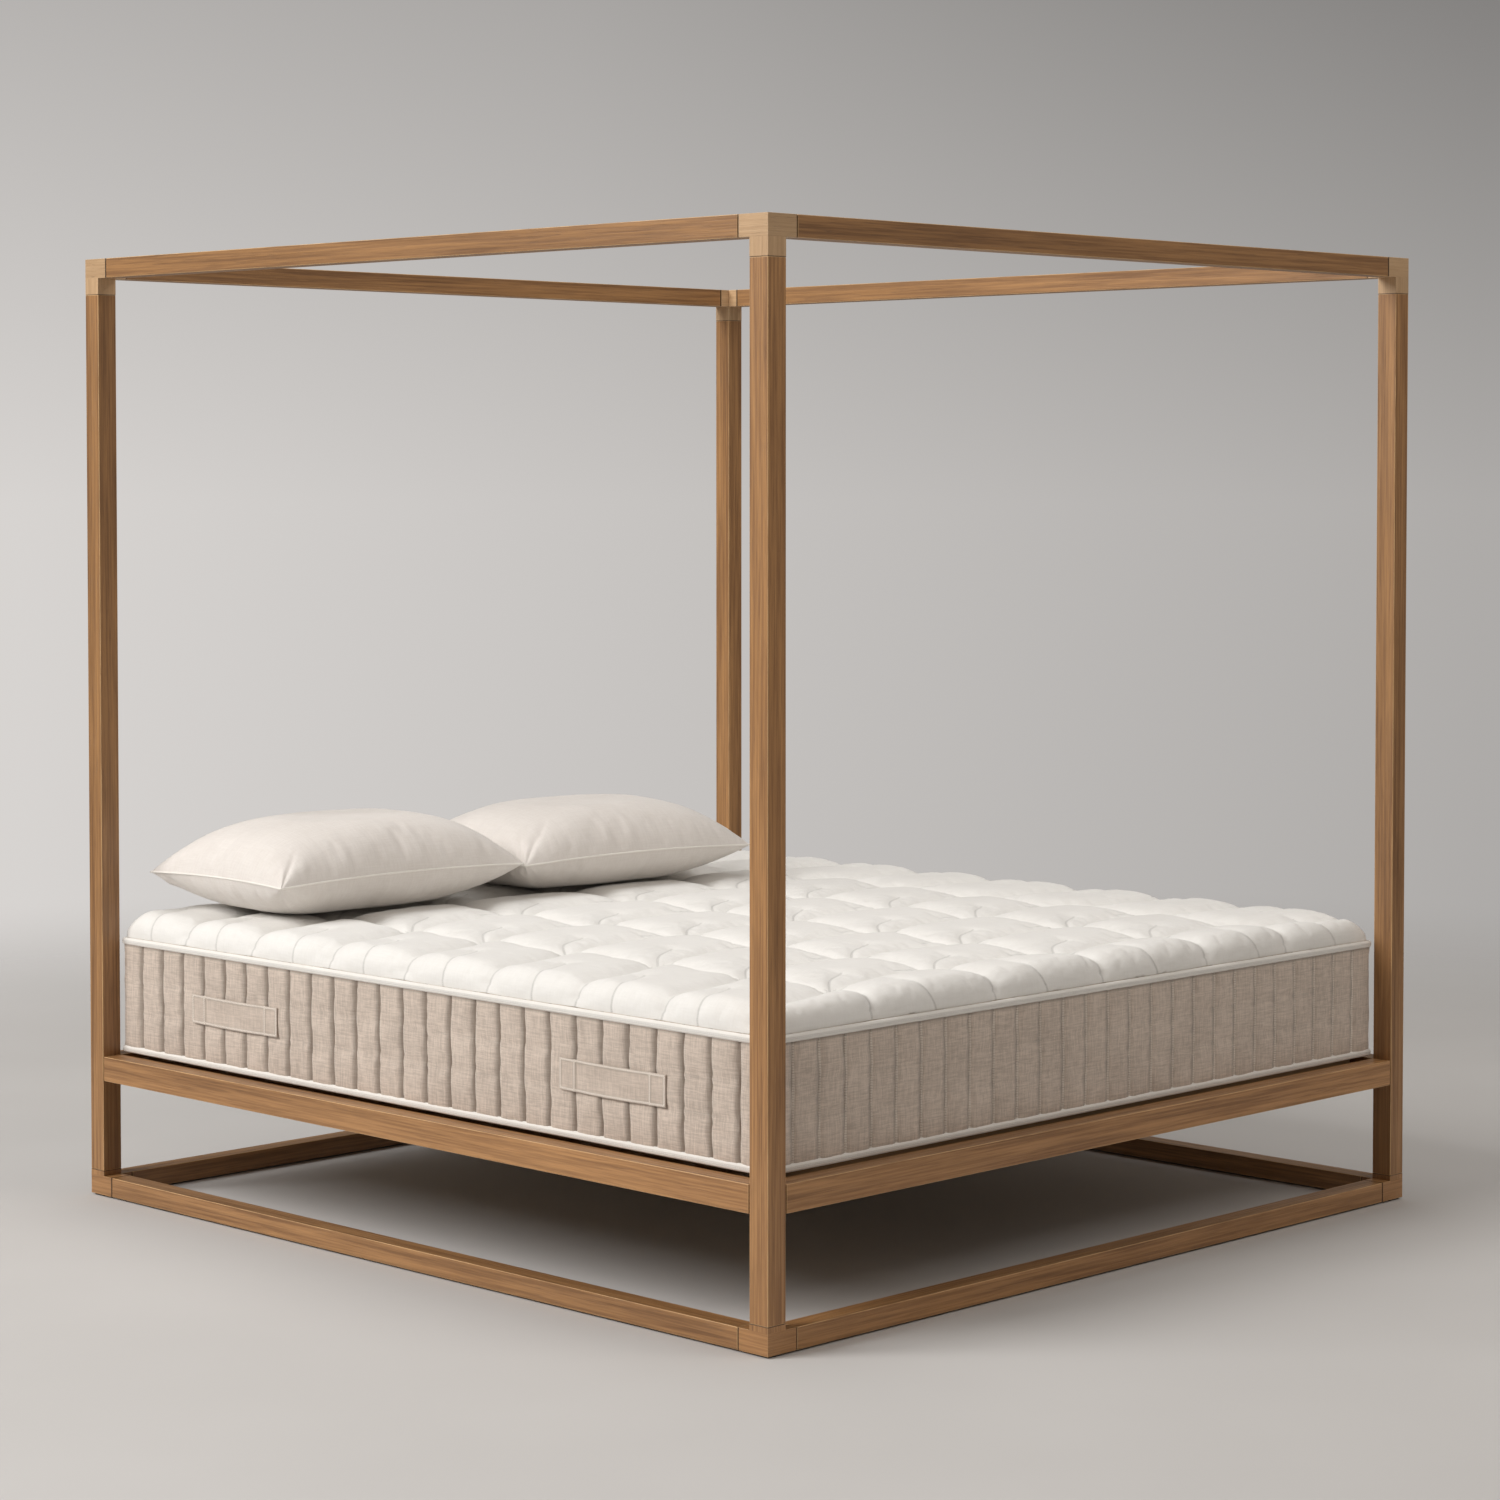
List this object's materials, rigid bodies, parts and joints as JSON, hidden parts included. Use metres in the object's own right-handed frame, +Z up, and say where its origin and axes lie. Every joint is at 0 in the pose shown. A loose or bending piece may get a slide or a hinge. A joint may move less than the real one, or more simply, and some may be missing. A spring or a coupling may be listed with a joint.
{
  "type": "four poster canopy bed",
  "caption": "Four poster bed of square timber with an open canopy frame, floor level base frame, slatted deck, quilted pillow-top mattress and pillows.",
  "frame": {"origin": "on the floor at the middle of the bed", "axes": "+Z up, +Y towards the head, +X towards the right of a person who stands at the foot and faces the head"},
  "size_m": [2.04, 2.14, 2.108],
  "materials": {
    "frame_wood": "satin",
    "connector_wood": "satin",
    "slat_wood": "matte",
    "tenon_wood": "matte",
    "plated_steel": "satin",
    "beam_steel": "matte",
    "glide_plastic": "matte",
    "core_foam": "matte",
    "border_cloth": "matte",
    "base_cloth": "matte",
    "quilt_cloth": "matte",
    "tape_cloth": "matte",
    "pillow_cloth": "matte"
  },
  "bodies": {
    "frame": {"post_foot_left": "frame_wood", "top_connector_foot_left": "connector_wood", "base_connector_foot_left": "connector_wood", "post_foot_right": "frame_wood", "top_connector_foot_right": "connector_wood", "base_connector_foot_right": "connector_wood", "post_head_left": "frame_wood", "top_connector_head_left": "connector_wood", "base_connector_head_left": "connector_wood", "post_head_right": "frame_wood", "top_connector_head_right": "connector_wood", "base_connector_head_right": "connector_wood", "canopy_rail_left": "frame_wood", "base_rail_left": "frame_wood", "bed_rail_left": "frame_wood", "canopy_rail_right": "frame_wood", "base_rail_right": "frame_wood", "bed_rail_right": "frame_wood", "canopy_rail_foot": "frame_wood", "base_rail_foot": "frame_wood", "bed_rail_foot": "frame_wood", "canopy_rail_head": "frame_wood", "base_rail_head": "frame_wood", "bed_rail_head": "frame_wood", "canopy_tenons": "tenon_wood", "base_tenons": "tenon_wood", "floor_glides": "glide_plastic", "post_bracket_plates": "plated_steel", "rail_hook_plates": "plated_steel", "plate_screws": "plated_steel", "ledger_screws": "plated_steel", "slat_screws": "plated_steel", "centre_beam": "beam_steel", "beam_hangers": "beam_steel", "ledger_left": "slat_wood", "ledger_right": "slat_wood", "slat_01": "slat_wood", "slat_02": "slat_wood", "slat_03": "slat_wood", "slat_04": "slat_wood", "slat_05": "slat_wood", "slat_06": "slat_wood", "slat_07": "slat_wood", "slat_08": "slat_wood", "slat_09": "slat_wood", "slat_10": "slat_wood", "slat_11": "slat_wood", "slat_12": "slat_wood", "slat_13": "slat_wood", "slat_14": "slat_wood"},
    "mattress": {"mattress_core": "core_foam", "mattress_border": "border_cloth", "mattress_base_panel": "base_cloth", "mattress_top_panel": "quilt_cloth", "mattress_tape_top": "tape_cloth", "mattress_tape_bottom": "tape_cloth", "mattress_handles": "border_cloth"},
    "pillow_left": {"pillow_left": "pillow_cloth"},
    "pillow_right": {"pillow_right": "pillow_cloth"}
  },
  "joints": [
    {"name": "mattress_lift", "type": "slide", "parent": "frame", "child": "mattress", "axis": [0, 0, 1], "range_m": [0, 0.6]},
    {"name": "pillow_left_lift", "type": "slide", "parent": "mattress", "child": "pillow_left", "axis": [0, 0, 1], "range_m": [0, 0.5]},
    {"name": "pillow_right_lift", "type": "slide", "parent": "mattress", "child": "pillow_right", "axis": [0, 0, 1], "range_m": [0, 0.5]}
  ]
}
